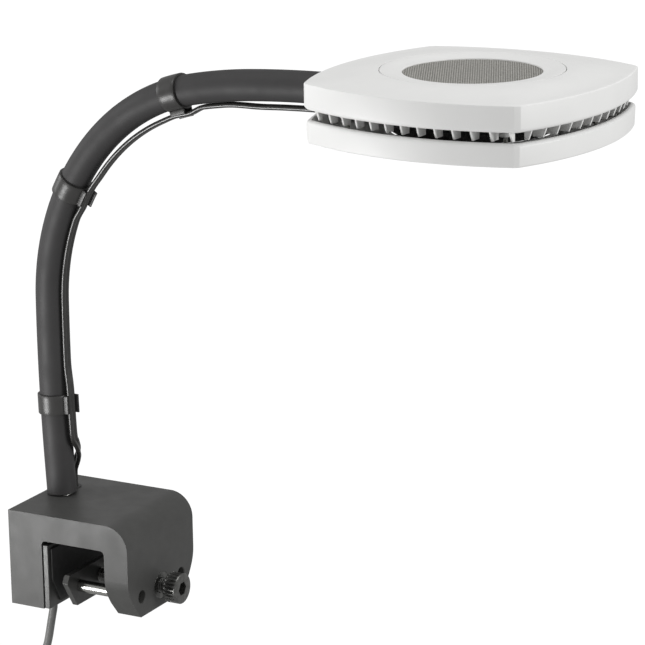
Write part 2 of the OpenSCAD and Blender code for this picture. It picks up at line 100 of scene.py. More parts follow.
def make_camera():
    """The photograph's viewpoint: 28.7 degrees round from the front, 15.2 degrees above."""
    data = bpy.data.cameras.new("camera")
    data.sensor_width = 36
    data.lens = 164.9
    data.clip_end = 50            # past the surround
    camera = bpy.data.objects.new("camera", data)
    bpy.context.scene.collection.objects.link(camera)
    turn = Matrix.Rotation(math.radians(28.684), 4, "Z")
    pitch = Matrix.Rotation(math.radians(90 - 15.2), 4, "X")
    roll = Matrix.Rotation(math.radians(-0.863), 4, "Z")
    camera.matrix_world = Matrix.Translation((1.0188, -1.5311, 0.6647)) @ turn @ pitch @ roll
    bpy.context.scene.camera = camera


# ---------------------------------------------------------------- mesh helpers

def new_piece(name, points, faces):
    """A mesh from points in millimetres, with its doubles merged and normals outward."""
    mesh = bpy.data.meshes.new(name)
    mesh.from_pydata([[c * MM for c in p] for p in points], [], faces)
    work = bmesh.new()
    work.from_mesh(mesh)
    bmesh.ops.remove_doubles(work, verts=work.verts, dist=1e-7)
    bmesh.ops.recalc_face_normals(work, faces=work.faces)
    work.to_mesh(mesh)
    work.free()
    piece = bpy.data.objects.new(name, mesh)
    bpy.context.scene.collection.objects.link(piece)
    return piece


def loft(rings, ring_closed=True, caps=True, looped=False):
    """Points and faces of a skin over rings of equal length."""
    n = len(rings[0])
    points = [tuple(p) for ring in rings for p in ring]
    faces = []
    last = len(rings) if looped else len(rings) - 1
    for i in range(last):
        j = (i + 1) % len(rings)
        for k in range(n if ring_closed else n - 1):
            m = (k + 1) % n
            faces.append((i * n + k, i * n + m, j * n + m, j * n + k))
    if caps and not looped:
        faces.append(tuple(reversed(range(n))))
        faces.append(tuple((len(rings) - 1) * n + k for k in range(n)))
    return points, faces


def bevel(piece, width, segments=3, angle=35, pick=None):
    """Rounds the edges sharper than angle, or those of them that pick accepts."""
    work = bmesh.new()
    work.from_mesh(piece.data)
    edges = [e for e in work.edges if len(e.link_faces) == 2
             and e.calc_face_angle(0) > math.radians(angle) and (pick is None or pick(e))]
    bmesh.ops.bevel(work, geom=edges, offset=width * MM, offset_type="OFFSET", segments=segments,
                    profile=0.5, affect="EDGES", clamp_overlap=True)
    work.to_mesh(piece.data)
    work.free()
    return piece


def cut(piece, *tools):
    """Takes the tools away from the piece and deletes them."""
    for tool in tools:
        hole = piece.modifiers.new("cut", "BOOLEAN")
        hole.operation = "DIFFERENCE"
        hole.solver = "EXACT"
        hole.object = tool
    graph = bpy.context.evaluated_depsgraph_get()
    mesh = bpy.data.meshes.new_from_object(piece.evaluated_get(graph))
    piece.modifiers.clear()
    piece.data = mesh
    for tool in tools:
        bpy.data.objects.remove(tool)
    return piece


def smooth(piece, angle=30):
    mesh = piece.data
    mesh.polygons.foreach_set("use_smooth", [True] * len(mesh.polygons))
    mesh.set_sharp_from_angle(angle=math.radians(angle))
    return piece


def place(piece, body, material, slot, *nodes, angle=30):
    """Shades a finished piece, gives it its material and its body, and hides the nodes it shows in
    their place; slot is not used.
    """
    if piece.type == "MESH":
        smooth(piece, angle)
    piece.data.materials.clear()
    piece.data.materials.append(material)
    if body:
        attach(piece, body)
    if nodes:
        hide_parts(*nodes)
    return piece


def angles(count):
    return [2 * math.pi * k / count for k in range(count)]


def ring(radius, count, centre=(0, 0, 0), across=(1, 0, 0), up=(0, 1, 0)):
    """A circle of points in the plane of two directions."""
    c, a, u = Vector(centre), Vector(across), Vector(up)
    return [c + radius * (math.cos(t) * a + math.sin(t) * u) for t in angles(count)]


def arc(cx, cy, radius, start, end, count):
    """Points of an arc in a plane, angles in degrees."""
    return [(cx + radius * math.cos(math.radians(start + (end - start) * k / count)),
             cy + radius * math.sin(math.radians(start + (end - start) * k / count)))
            for k in range(count + 1)]


def lathe_rings(profile, origin, axis, count):
    """Circles round an axis, one for each (radius, height along the axis)."""
    axis = Vector(axis).normalized()
    across = axis.orthogonal().normalized()
    up = axis.cross(across)
    return [ring(r, count, Vector(origin) + h * axis, across, up) for r, h in profile]


def turned(name, profile, origin, axis, count=64):
    """A lathe part with a hole through it, from a closed list of (radius, height)."""
    return new_piece(name, *loft(lathe_rings(profile, origin, axis, count), looped=True))


def rod(name, start, axis, length, radius, count=32, rim=0.0):
    """A round cutter; a positive rim widens the last millimetre of it, with a chamfer before."""
    profile = [(radius, 0), (radius, length - 1 - rim), (radius + rim, length - 1),
               (radius + rim, length)]
    return new_piece(name, *loft(lathe_rings(profile, start, axis, count)))


# ---------------------------------------------------------------- materials

class Look:
    """A procedural material round one Principled shader, in the frame's own coordinates."""

    def __init__(self, name, colour, roughness, metallic=0.0, specular=0.5, coat=0.0):
        self.material = bpy.data.materials.new(name)
        self.material.use_nodes = True
        self.tree = self.material.node_tree
        self.shader = self.tree.nodes["Principled BSDF"]
        self.colour = (*colour, 1)
        self.shader.inputs["Base Color"].default_value = self.colour
        self.shader.inputs["Roughness"].default_value = roughness
        self.shader.inputs["Metallic"].default_value = metallic
        self.shader.inputs["Specular IOR Level"].default_value = specular
        self.shader.inputs["Coat Weight"].default_value = coat
        self.roughness = roughness
        self.place = self.node("ShaderNodeTexCoord").outputs["Object"]
        self.bump = None

    def node(self, kind, **values):
        made = self.tree.nodes.new(kind)
        for key, value in values.items():
            setattr(made, key, value)
        return made

    def link(self, a, b):
        self.tree.links.new(a, b)

    def noise(self, size, detail=2.0, stretch=(1, 1, 1)):
        """Noise with features of about size millimetres, drawn out along an axis by stretch."""
        mapping = self.node("ShaderNodeMapping")
        mapping.inputs["Scale"].default_value = [1 / (size * MM * s) for s in stretch]
        self.link(self.place, mapping.inputs["Vector"])
        noise = self.node("ShaderNodeTexNoise")
        noise.inputs["Scale"].default_value = 1
        noise.inputs["Detail"].default_value = detail
        self.link(mapping.outputs["Vector"], noise.inputs["Vector"])
        return noise.outputs["Fac"]

    def spread(self, value, low, high):
        """Maps the middle of a noise to low..high."""
        fit = self.node("ShaderNodeMapRange")
        fit.inputs["From Min"].default_value = 0.3
        fit.inputs["From Max"].default_value = 0.7
        fit.inputs["To Min"].default_value = low
        fit.inputs["To Max"].default_value = high
        self.link(value, fit.inputs["Value"])
        return fit.outputs["Result"]

    def mottle(self, size, dark, light, stretch=(1, 1, 1)):
        """Varies the colour between dark and light times itself."""
        mix = self.node("ShaderNodeMix", data_type="RGBA")
        mix.inputs["A"].default_value = [c * dark for c in self.colour[:3]] + [1]
        mix.inputs["B"].default_value = [min(c * light, 1) for c in self.colour[:3]] + [1]
        self.link(self.spread(self.noise(size, 4, stretch), 0, 1), mix.inputs["Factor"])
        self.link(mix.outputs["Result"], self.shader.inputs["Base Color"])
        return self

    def uneven_gloss(self, size, change, stretch=(1, 1, 1)):
        value = self.spread(self.noise(size, 3, stretch), self.roughness - change,
                            self.roughness + change)
        self.link(value, self.shader.inputs["Roughness"])
        return self

    def grain(self, size, height, stretch=(1, 1, 1), detail=2.0):
        """Adds bumps of a size and height in millimetres."""
        bump = self.node("ShaderNodeBump")
        bump.inputs["Strength"].default_value = 1
        bump.inputs["Distance"].default_value = height * MM
        self.link(self.noise(size, detail, stretch), bump.inputs["Height"])
        if self.bump:
            self.link(self.bump, bump.inputs["Normal"])
        self.bump = bump.outputs["Normal"]
        self.link(self.bump, self.shader.inputs["Normal"])
        return self


def make_materials():
    looks = {}

    def add(name, *args, **values):
        looks[name] = Look(name, *args, **values)
        return looks[name]

    add("clamp_coat", (0.056, 0.056, 0.054), 0.4, specular=0.28).mottle(9, 0.93, 1.06) \
        .uneven_gloss(14, 0.05).grain(0.9, 0.02).grain(0.35, 0.012)
    add("jaw_steel", (0.055, 0.055, 0.053), 0.34, metallic=0.2).mottle(6, 0.85, 1.15) \
        .uneven_gloss(5, 0.07).grain(0.5, 0.008)
    add("jaw_pad", (0.028, 0.028, 0.028), 0.62).mottle(4, 0.8, 1.25).grain(0.7, 0.05)
    add("pin_steel", (0.42, 0.42, 0.4), 0.2, metallic=1.0).uneven_gloss(3, 0.04, (0.05, 1, 1)) \
        .grain(0.35, 0.002, (0.06, 1, 1))
    add("black_oxide", (0.13, 0.13, 0.125), 0.3, metallic=0.85).mottle(3, 0.75, 1.3) \
        .uneven_gloss(2, 0.07).grain(0.4, 0.006)
    add("screw_steel", (0.6, 0.6, 0.57), 0.28, metallic=1.0).uneven_gloss(2, 0.06) \
        .grain(0.3, 0.004)
    add("grommet_rubber", (0.022, 0.022, 0.022), 0.55).mottle(3, 0.8, 1.2).grain(0.4, 0.02)
    add("cord_jacket", (0.13, 0.13, 0.126), 0.36).mottle(7, 0.93, 1.07).uneven_gloss(9, 0.05) \
        .grain(1.6, 0.02, (1, 1, 4))
    add("plug_black", (0.03, 0.03, 0.03), 0.45).mottle(4, 0.85, 1.2).grain(0.4, 0.015)
    add("core_steel", (0.45, 0.45, 0.44), 0.35, metallic=1.0).grain(1.2, 0.02, (1, 1, 0.4))
    add("arm_sleeve", (0.03, 0.029, 0.0295), 0.6, specular=0.4).mottle(12, 0.94, 1.07) \
        .uneven_gloss(18, 0.05).grain(0.5, 0.015).grain(6, 0.03)
    add("arm_cable", (0.026, 0.0255, 0.024), 0.24, specular=0.55).mottle(5, 0.9, 1.1) \
        .uneven_gloss(6, 0.05).grain(2.2, 0.012)
    add("clip_plastic", (0.034, 0.033, 0.032), 0.36, specular=0.45).mottle(5, 0.93, 1.08) \
        .uneven_gloss(4, 0.05).grain(0.5, 0.008)
    add("shell_white", (0.80, 0.80, 0.79), 0.42, specular=0.4).mottle(22, 0.985, 1.01) \
        .uneven_gloss(12, 0.04).grain(0.4, 0.006)
    add("mesh_grey", (0.46, 0.45, 0.42), 0.42, metallic=0.4).mottle(1.2, 0.8, 1.2) \
        .uneven_gloss(2, 0.08)
    add("fan_black", (0.022, 0.022, 0.022), 0.4).mottle(5, 0.85, 1.15).grain(0.5, 0.012)
    add("motor_copper", (0.6, 0.22, 0.08), 0.3, metallic=0.9).mottle(1, 0.7, 1.2) \
        .grain(0.5, 0.08, (1, 1, 0.2))
    add("board_green", (0.015, 0.14, 0.06), 0.3).mottle(2, 0.8, 1.2).grain(1.5, 0.02)
    add("filter_foam", (0.02, 0.02, 0.02), 0.9).mottle(1.5, 0.4, 2.2).grain(1.6, 0.9, detail=3)
    add("button_grey", (0.2, 0.2, 0.2), 0.4).mottle(3, 0.95, 1.05).grain(0.4, 0.01)
    return {name: look.material for name, look in looks.items()}


# ---------------------------------------------------------------- power cord

CORD_D = 5.4
# The given route from the clamp down to the coil
ROUTE = [(-17, -12, -13.5), (-17, -12, -18), (-17.5, -12, -24), (-19, -12, -31),
         (-20.5, -12, -38), (-22, -12, -45), (-24, -12, -52), (-27.5, -12, -58.5),
         (-32.5, -12, -64.5), (-38.5, -12, -70), (-44.5, -12, -75)]
COIL_AT = Vector((-22.5, -12, -106))
COIL_R = 31
STRANDS = 8                       # places for the turns round the coil's middle line
STRAND_R = CORD_D / 2 / math.sin(math.pi / STRANDS)
COIL_START = 135                  # degrees round the coil where the first turn lies down
TAIL_AT = 180 + 7 * 360           # and where the last one leaves it
TAIL_L = 36


def coil_point(angle):
    """A point of the cord's line: each turn lies one place further round the bundle."""
    place_on = math.radians((angle - COIL_START) / STRANDS)
    out = COIL_R + STRAND_R * math.cos(place_on)
    a = math.radians(angle)
    return COIL_AT + Vector((out * math.cos(a), STRAND_R * math.sin(place_on), out * math.sin(a)))


def eased(points, spacing):
    """A smooth line through points, with one point about every spacing millimetres."""
    points = [Vector(p) for p in points]
    ends = [2 * points[0] - points[1], *points, 2 * points[-1] - points[-2]]
    line = []
    for a, b, c, d in zip(ends, ends[1:], ends[2:], ends[3:]):
        steps = max(1, round((c - b).length / spacing))
        for k in range(steps):
            t = k / steps
            line.append(0.5 * (2 * b + (c - a) * t + (2 * a - 5 * b + 4 * c - d) * t * t
                               + (3 * b - a - 3 * c + d) * t ** 3))
    return line + [points[-1]]


def make_cord(looks):
    """1.5 m of lead: down from the clamp, seven turns of a coil, and a tail to the plug."""
    turns = [coil_point(a) for a in range(COIL_START, TAIL_AT + 1, 9)]
    tail = [turns[-1] - Vector((0, 0, z)) for z in range(6, TAIL_L + 1, 6)]
    line = eased(ROUTE + turns + tail, 2.5)
    curve = bpy.data.curves.new("lead", "CURVE")
    curve.dimensions = "3D"
    spline = curve.splines.new("POLY")
    spline.points.add(len(line) - 1)
    for point, at in zip(spline.points, line):
        point.co = (*(at * MM), 1)
    curve.bevel_depth = CORD_D / 2 * MM
    curve.bevel_resolution = 5
    curve.use_fill_caps = True
    lead = bpy.data.objects.new("lead", curve)
    bpy.context.scene.collection.objects.link(lead)
    place(lead, "clamp", looks["cord_jacket"], "cord_jacket",
          "power_cord", "cord_coil", "cord_tail")
    tie = make_tie(looks)
    plug = make_plug(looks)


def make_tie(looks):
    """A hook and loop strap round the bottom of the coil."""
    radius, thick, wide = STRAND_R + CORD_D / 2 + 0.15, 1.0, 11
    profile = [(radius + thick * share, h * wide)
               for share, h in [(0.7, -0.5), (1, -0.46), (1, 0.46), (0.7, 0.5), (0, 0.5),
                                (0, -0.5)]]
    bottom = COIL_AT - Vector((0, 0, COIL_R))
    strap = turned("lead_tie", profile, bottom, (1, 0, 0), 48)
    flap = new_piece("flap", *loft([
        [bottom + Vector((x, y, z)) for x, y, z in
         [(-5.2, y0, z0), (5.2, y0, z0), (5.2, y0 - 0.9, z0 + 0.1), (-5.2, y0 - 0.9, z0 + 0.1)]]
        for y0, z0 in [(-radius - 0.2, 4), (-radius - 0.9, 0), (-radius - 1.0, -5),
                       (-radius - 0.6, -9)]]))
    join(strap, flap)
    return place(strap, "clamp", looks["plug_black"], "plug_black", "cord_tie")


def join(piece, *others):
    """Puts the others' meshes into the piece."""
    work = bmesh.new()
    for one in (piece, *others):
        work.from_mesh(one.data)
    work.to_mesh(piece.data)
    work.free()
    for one in others:
        bpy.data.objects.remove(one)
    return piece


def make_plug(looks):
    """Moulded plug with a ribbed strain relief and a waisted grip."""
    low, high = box("plug_body")
    centre = Vector(((low.x + high.x) / 2, (low.y + high.y) / 2, high.z))
    long = high.z - low.z
    profile = [(CORD_D / 2 + 0.05, 0.3), (3.2, 0)]
    for k in range(5):
        base = -1 - 1.8 * k
        r = 3.25 + 0.24 * k
        profile += [(r, base), (r, base - 1.0), (r - 0.55, base - 1.2), (r - 0.55, base - 1.6)]
    profile += [(4.6, -10.4), (5.0, -11.2), (5.0, -14), (4.7, -16), (4.6, -18.5), (4.7, -21),
                (5.0, -23), (5.0, 0.6 - long), (4.4, -long), (CORD_D / 2 + 0.05, -long)]
    plug = turned("plug_grip", profile, centre, (0, 0, 1), 40)
    return place(plug, "clamp", looks["plug_black"], "plug_black", "plug_body")


# ---------------------------------------------------------------- arm's line

class Arm:
    """The arm's centreline: arcs that run from joint to joint, each tangent to the last."""

    names = ["arm_swivel", "lower_bend", "middle_bend", "upper_bend", "head_yaw", "head_tilt"]
    end_back = 84                 # the arm's end behind the head's centre
    end_drop = 17.4               # and below the head's top

    def __init__(self):
        stops = [joint_at(name) for name in self.names]
        centre = joint_at("fan_spin")
        self.base = stops[0]
        self.out = Vector((centre.x - self.base.x, centre.y - self.base.y, 0)).normalized()
        end = Vector((centre.x, centre.y, centre.z + FAN_DROP - self.end_drop))
        stops.append(end - self.end_back * self.out)
        lean = Vector(JOINTS["arm_swivel"]["axis"])
        heading = math.atan2(lean.dot(self.out), lean.z)
        self.stretches = []
        self.starts = []
        gone = 0.0
        for a, b in zip(stops, stops[1:]):
            step = b - a
            across, up = step.dot(self.out), step.z
            bend = 2 * (math.atan2(across, up) - heading)
            chord = math.hypot(across, up)
            length = chord if abs(bend) < 1e-4 else chord * (bend / 2) / math.sin(bend / 2)
            self.stretches.append(((a - self.base).dot(self.out), a.z - self.base.z, heading,
                                   length, bend))
            self.starts.append(gone)
            gone += length
            heading += bend
        self.starts.append(gone)

    def at(self, along):
        """Point, direction along the arm, direction to the inside of its bend, and sideways."""
        n = max(k for k in range(len(self.stretches)) if k == 0 or self.starts[k] <= along)
        across, up, heading, length, bend = self.stretches[n]
        d = along - self.starts[n]
        if abs(bend) < 1e-4:
            turn = 0.0
            across, up = across + d * math.sin(heading), up + d * math.cos(heading)
        else:
            turn = bend * d / length
            r = length / bend
            across += r * (math.cos(heading) - math.cos(heading + turn))
            up += r * (math.sin(heading + turn) - math.sin(heading))
        h = heading + turn
        z = Vector((0, 0, 1))
        point = self.base + across * self.out + up * z
        forward = math.sin(h) * self.out + math.cos(h) * z
        inside = math.cos(h) * self.out - math.sin(h) * z
        return point, forward, inside, forward.cross(inside)

    def ring(self, along, section):
        """Points of a section given as (towards the inside, sideways) at a place on the arm."""
        point, _, inside, side = self.at(along)
        return [point + a * inside + b * side for a, b in section]


def round_section(radius, count=48):
    return [(radius * math.cos(2 * math.pi * k / count), radius * math.sin(2 * math.pi * k / count))
            for k in range(count)]


def stations(start, end, step):
    count = max(1, round((end - start) / step))
    return [start + (end - start) * k / count for k in range(count + 1)]


def hollow_tube(arm, name, start, end, outer, inner, rim=0.0, step=2.5):
    """A sleeve along the arm, with its ends rounded by rim."""
    rings = [(start, inner), (start, outer - rim)]
    if rim:
        rings += [(start + 0.3 * rim, outer - 0.3 * rim)]
    rings += [(s, outer) for s in stations(start + rim, end - rim, step)]
    if rim:
        rings += [(end - 0.3 * rim, outer - 0.3 * rim)]
    rings += [(end, outer - rim)]
    rings += [(s, inner) for s in reversed(stations(start + 0.01, end, step))]
    return new_piece(name, *loft([arm.ring(s, round_section(r)) for s, r in rings], looped=True))


SLEEVE_R = 9.75
CORE_R = 6.0
SLEEVE_GAP = 0.9
CLIP_AT = [(1, 37.8), (2, 79.5), (3, 69.5)]      # stretch, and how far along it
CLIP_L = 13.0
# Which bodies meet at each joint, how far before and after it the arm bends, and what it shows
BENDS = [("arm_base", "arm_lower", 18, 18, ("base",)),
         ("arm_lower", "arm_middle", 45, 45, ("lower",)),
         ("arm_middle", "arm_upper", 32, 32, ("middle",)),
         ("arm_upper", "arm_tip", 8, 17, ("upper",)),
         ("arm_tip", "head", 22, 22, ("tip", "end"))]


def arm_seams(arm):
    """Where the pieces of sleeve, core and cable meet: under the clips and midway in the neck."""
    clips = [arm.starts[n] + d for n, d in CLIP_AT]
    neck = (bend_ends(arm, 3)[1] + bend_ends(arm, 4)[0]) / 2
    return [SLEEVE_GAP, *clips, neck, arm.starts[6]]


def bend_ends(arm, n):
    """The two places between which the arm bends round joint n."""
    _, _, before, after, _ = BENDS[n]
    joint = arm.starts[n + 1]
    return joint - before, joint + after


def blend_at(arm, piece, n):
    first, last = (arm.at(s)[0] * MM for s in bend_ends(arm, n))
    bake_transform(piece)


def make_sleeve_and_core(arm, looks):
    seams = arm_seams(arm)
    for n in range(len(BENDS)):
        shown = BENDS[n][4]
        for name, outer, inner in [("sleeve", SLEEVE_R, CORE_R + 0.05), ("core", CORE_R, 2.0)]:
            look = "arm_sleeve" if name == "sleeve" else "core_steel"
            tube = hollow_tube(arm, f"{name}_part_{n + 1}", seams[n], seams[n + 1], outer, inner)
            place(tube, None, looks[look], look, *[f"{name}_{part}" for part in shown], angle=50)
            blend_at(arm, tube, n)


# ---------------------------------------------------------------- arm's cable and clips

CABLE_T = 3.2
CABLE_W = 6.4
CABLE_OFF = SLEEVE_R + 1.85 + CABLE_T / 2
# How far the cable stands off its usual line, as (stretch, how far along it, lift)
STAND_OFF = [(1, 44.5, 0), (1, 68, -1.5), (2, 60, -1.5), (2, 73, 0), (2, 86, 0), (2, 102, 0.9),
             (3, 50, 0.9), (3, 63, 0.6), (3, 76, 1.1), (4, 8, -1.6), (4, 24, -1.6), (5, 10, 0),
             (5, 71, 0)]


def cable_section(wide, thick, count=9):
    """Two round cores side by side, joined by a web."""
    r = thick / 2
    out = wide / 2 - r
    lobe = [math.radians(-150 + 300 * k / count) for k in range(count + 1)]
    right = [(r * math.sin(t), out + r * math.cos(t)) for t in lobe]
    left = [(-a, -b) for a, b in right]
    return right + left


def make_cable(arm, looks):
    """The twin cable on the inside of the bend, in the same lengths as the sleeve."""
    section = cable_section(CABLE_W, CABLE_T)
    seams = arm_seams(arm)
    knots = [(arm.starts[n] + d, off) for n, d, off in STAND_OFF]

    def lift(s):
        for (first, a), (last, b) in zip(knots, knots[1:]):
            if first <= s <= last:
                share = (s - first) / (last - first)
                return a + (b - a) * (0.5 - 0.5 * math.cos(math.pi * share))
        return 0.0

    for n in range(1, len(BENDS)):
        end = seams[n + 1] + (1 if n == len(BENDS) - 1 else 0)
        rings = [arm.ring(s, [(CABLE_OFF + lift(s) + a, b) for a, b in section])
                 for s in stations(seams[n], end, 2.5)]
        piece = new_piece(f"cable_part_{n + 1}", *loft(rings))
        shown = [f"cable_{part}" for part in BENDS[n][4]] if n > 1 else []
        place(piece, None, looks["arm_cable"], "arm_cable", *shown, angle=60)
        blend_at(arm, piece, n)
    make_cable_foot(arm, looks, section, seams[1])


# The cable's way round the arm below the first clip: (height, turn round the arm, distance from it)
FOOT = [(41, -3, 13.15), (36, 6, 13.2), (31, 22, 13.0), (26, 42, 12.9), (21, 62, 13.1),
        (16, 78, 13.6), (12, 87, 14.2)]


def make_cable_foot(arm, looks, section, top):
    """Below the first clip the cable swings round the arm and down into its grommet behind it."""
    low, high = box("cable_grommet")
    x, y, z = (low.x + high.x) / 2, (low.y + high.y) / 2, high.z
    start, _, inside, _ = arm.at(top)
    points = [start + CABLE_OFF * inside]
    for height, turn, out in FOOT:
        a = math.radians(turn)
        points.append(arm.at(height)[0] + out * Vector((math.cos(a), math.sin(a), 0)))
    points += [Vector((x, y, z + 6)), Vector((x, y, z + 2)), Vector((x, y, z - 3))]
    line = eased(points, 1.5)
    rings = []
    for k, point in enumerate(line):
        ahead = (line[min(k + 1, len(line) - 1)] - line[max(k - 1, 0)]).normalized()
        middle = arm.at(max(0, point.z - arm.base.z))[0]
        outward = Vector((point.x - middle.x, point.y - middle.y, 0)).normalized()
        side = (-ahead).cross(outward).normalized()
        outward = side.cross(-ahead)
        rings.append([point + a * outward + b * side for a, b in section])
    split = next(k for k, p in enumerate(line) if p.z < z + 13.5)
    upper = new_piece("cable_part_1", *loft(rings[:split + 1]))
    place(upper, None, looks["arm_cable"], "arm_cable", "cable_lower", angle=60)
    blend_at(arm, upper, 0)
    lower = new_piece("cable_part_0", *loft(rings[split:]))
    place(lower, None, looks["arm_cable"], "arm_cable", "cable_base", angle=60)
    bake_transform(lower)


def make_clips(arm, looks):
    """The three snap clips, each on its own length of the arm."""
    for (n, d), part in zip(CLIP_AT, ["lower", "middle", "upper"]):
        middle = arm.starts[n] + d
        clip = make_clip(arm, f"snap_clip_{part}", middle)
        place(clip, f"arm_{part}", looks["clip_plastic"], "clip_plastic", f"clip_{part}", angle=40)


def band(arm, name, middle, length, outline, inner, rim=0.35):
    """A strap of constant section: outline and inner are open lists of (inside, sideways)."""
    half = length / 2
    rings = []

    def between(share):
        return [(a + (c - a) * share, b + (d - b) * share)
                for (a, b), (c, d) in zip(inner, outline)]

    thick = math.dist(outline[0], inner[0])
    share = 1 - rim / thick
    for s, t in [(-half, share), (-half + 0.3 * rim, 1 - 0.3 * rim / thick), (-half + rim, 1)]:
        rings.append(arm.ring(middle + s, between(t)))
    for s in stations(-half + rim, half - rim, 2.5)[1:]:
        rings.append(arm.ring(middle + s, between(1)))
    for s, t in [(half - 0.3 * rim, 1 - 0.3 * rim / thick), (half, share)]:
        rings.append(arm.ring(middle + s, between(t)))
    for s in stations(half, -half, 2.5):
        rings.append(arm.ring(middle + s, between(0)))
    open_strip = math.dist(outline[0], outline[-1]) > 1e-6
    points, faces = loft(rings, ring_closed=not open_strip, looped=True)
    if open_strip:
        n, count = len(outline), len(rings)
        faces.append(tuple(k * n for k in range(count)))
        faces.append(tuple(k * n + n - 1 for k in reversed(range(count))))
    return new_piece(name, points, faces)


def make_clip(arm, name, middle):
    """A band round the sleeve with two lips, which the cable lies between."""
    def sweep(radius):
        return arc(0, 0, radius, 0, 357.5, 71)

    outer, inner = SLEEVE_R + 1.5, SLEEVE_R + 0.06
    ring_band = band(arm, name, middle, CLIP_L, sweep(outer), sweep(inner))
    close_ring(ring_band)
    lips = []
    for side, reach in [(-1, CABLE_OFF + 0.5), (1, CABLE_OFF + CABLE_T / 2 + 1.6)]:
        near, far = CABLE_W / 2 + 0.05, CABLE_W / 2 + 1.25
        root = SLEEVE_R + 0.7
        section = [(root, side * near), (reach, side * near), (reach, side * far),
                   (root, side * far)]
        rings = [arm.ring(s, section) for s in stations(middle - 6.2, middle + 6.2, 2.5)]
        lips.append(bevel(new_piece("lip", *loft(rings)), 0.35, 3))
    return join(ring_band, *lips)


def close_ring(piece):
    """Joins the two flat ends of a band that runs all the way round."""
    work = bmesh.new()
    work.from_mesh(piece.data)
    flat = [f for f in work.faces if len(f.verts) > 8]
    loops = [list(f.verts) for f in flat]
    bmesh.ops.delete(work, geom=flat, context="FACES_ONLY")
    first, last = loops
    edges = []
    for loop in (first, last):
        for a, b in zip(loop, loop[1:] + loop[:1]):
            edges.append(work.edges.get((a, b)))
    bmesh.ops.bridge_loops(work, edges=edges)
    bmesh.ops.recalc_face_normals(work, faces=work.faces)
    work.to_mesh(piece.data)
    work.free()


# ---------------------------------------------------------------- clamp

def make_clamp(looks):
    low, high = box("clamp_body")
    foot = box("screw_leg")[0].z
    jaw_back = box("fixed_jaw_plate")[0].x       # the throat's rear wall
    corner, inner_corner = 16, 3
    throat_top, leg_thick = 33, 17.5
    wall_x = high.x - leg_thick   # the throat's front wall
    half = high.y
    profile = [(low.x, foot), (low.x, high.z)]
    profile += list(reversed(arc(high.x - corner, high.z - corner, corner, 0, 90, 24)))
    profile += [(high.x, foot), (wall_x, foot)]
    profile += arc(wall_x - inner_corner, throat_top - inner_corner, inner_corner, 0, 90, 8)
    profile += arc(jaw_back + inner_corner, throat_top - inner_corner, inner_corner, 90, 180, 8)
    profile += [(jaw_back, foot)]
    rings = [[(x, y, z) for x, z in profile] for y in (-half, half)]
    block = new_piece("clamp_block", *loft(rings))
    for side in (-1, 1):
        cut(block, foot_cutter(side, half, foot, wall_x - 0.01, high.x + 1))

    def leg_edge(edge):
        a, b = (v.co / MM for v in edge.verts)
        upright = abs(a.x - jaw_back) < 0.1 and abs(b.x - jaw_back) < 0.1
        return upright and abs(abs(a.y) - half) < 0.1 and abs(a.z - b.z) > 20

    bevel(block, 3.0, 6, pick=leg_edge)
    bevel(block, 0.8, 3, angle=32)
    tools = []
    pin = box("guide_pins")
    pin_r = (pin[1].z - pin[0].z) / 2
    for y in (pin[0].y + pin_r, pin[1].y - pin_r):
        tools.append(rod("hole", (wall_x - 2, y, 0), (1, 0, 0), leg_thick + 3, pin_r + 0.2, 40,
                         0.45))
    insert = box("thread_insert")
    tools.append(rod("hole", (wall_x - 2, 0, 0), (1, 0, 0), leg_thick + 3,
                     (insert[1].z - insert[0].z) / 2 + 0.02, 48))
    arm_base, lean = joint_at("arm_swivel"), Vector(JOINTS["arm_swivel"]["axis"])
    tools.append(rod("hole", arm_base - 21 * lean, lean, 22.5, 7.05, 48, 0.3))
    lead_in, lead_out, lock = (centre_of(node)
                               for node in ("cable_grommet", "cord_grommet", "socket_screw"))
    tools.append(rod("hole", (lead_in.x, lead_in.y, high.z - 30), (0, 0, 1), 31, 4.0, 32))
    tools.append(rod("hole", (lead_out.x, lead_out.y, foot + 20), (0, 0, -1), 21, 4.0, 32, 0.4))
    tools.append(rod("hole", (low.x + 14, lock.y, lock.z), (-1, 0, 0), 15, 2.5, 24, 0.4))
    cut(block, *tools)
    place(block, "clamp", looks["clamp_coat"], "clamp_coat", "clamp_body", "screw_leg", angle=28)


def foot_cutter(side, half, foot, x0, x1):
    """What is taken off the screw leg's side: upright above, then curving in towards the foot."""
    line = [(half + 2, 16), (half, 14), (half - 0.25, 10.5), (half - 1.0, 7), (half - 2.3, 3.6),
            (half - 4.1, 0.2), (half - 6.6, -3.8), (26.0, foot), (25.4, foot - 1),
            (half + 2, foot - 1)]
    rings = [[(x, side * y, z) for y, z in line] for x in (x0, x1)]
    return new_piece("cutter", *loft(rings))


HEX_KEY = 8.0


